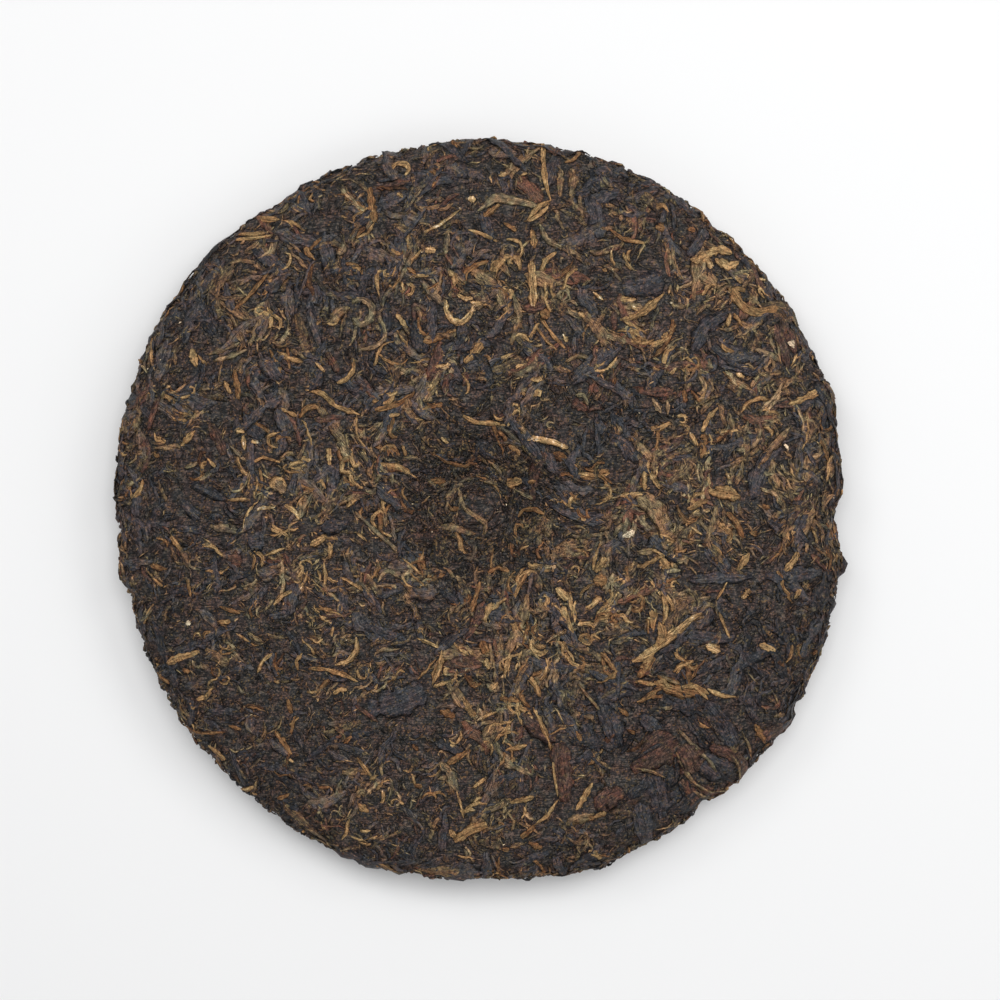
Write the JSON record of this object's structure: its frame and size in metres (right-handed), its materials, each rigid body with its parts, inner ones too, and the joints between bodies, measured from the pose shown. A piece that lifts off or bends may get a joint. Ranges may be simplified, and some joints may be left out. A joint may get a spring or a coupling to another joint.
{
  "type": "pu erh tea cake",
  "caption": "Round cake of pressed dark tea leaves with a shallow dimple in its upper face, golden buds and a crumbly rim. It lies on its domed face.",
  "frame": {"origin": "middle of the small flat spot that the cake rests on, straight under the middle of its outline", "axes": "+Z out of the dimpled face, up as it lies; +Y towards the top of the dimpled face as the picture shows it"},
  "size_m": [0.1961, 0.2011, 0.0234],
  "materials": {
    "pressed_tea": "dry pressed tea: dark brown and blue-black leaves with golden and straw-coloured buds, wrinkled, satin to matte"
  },
  "bodies": {
    "root": {"tea_cake": "pressed_tea"}
  },
  "joints": []
}
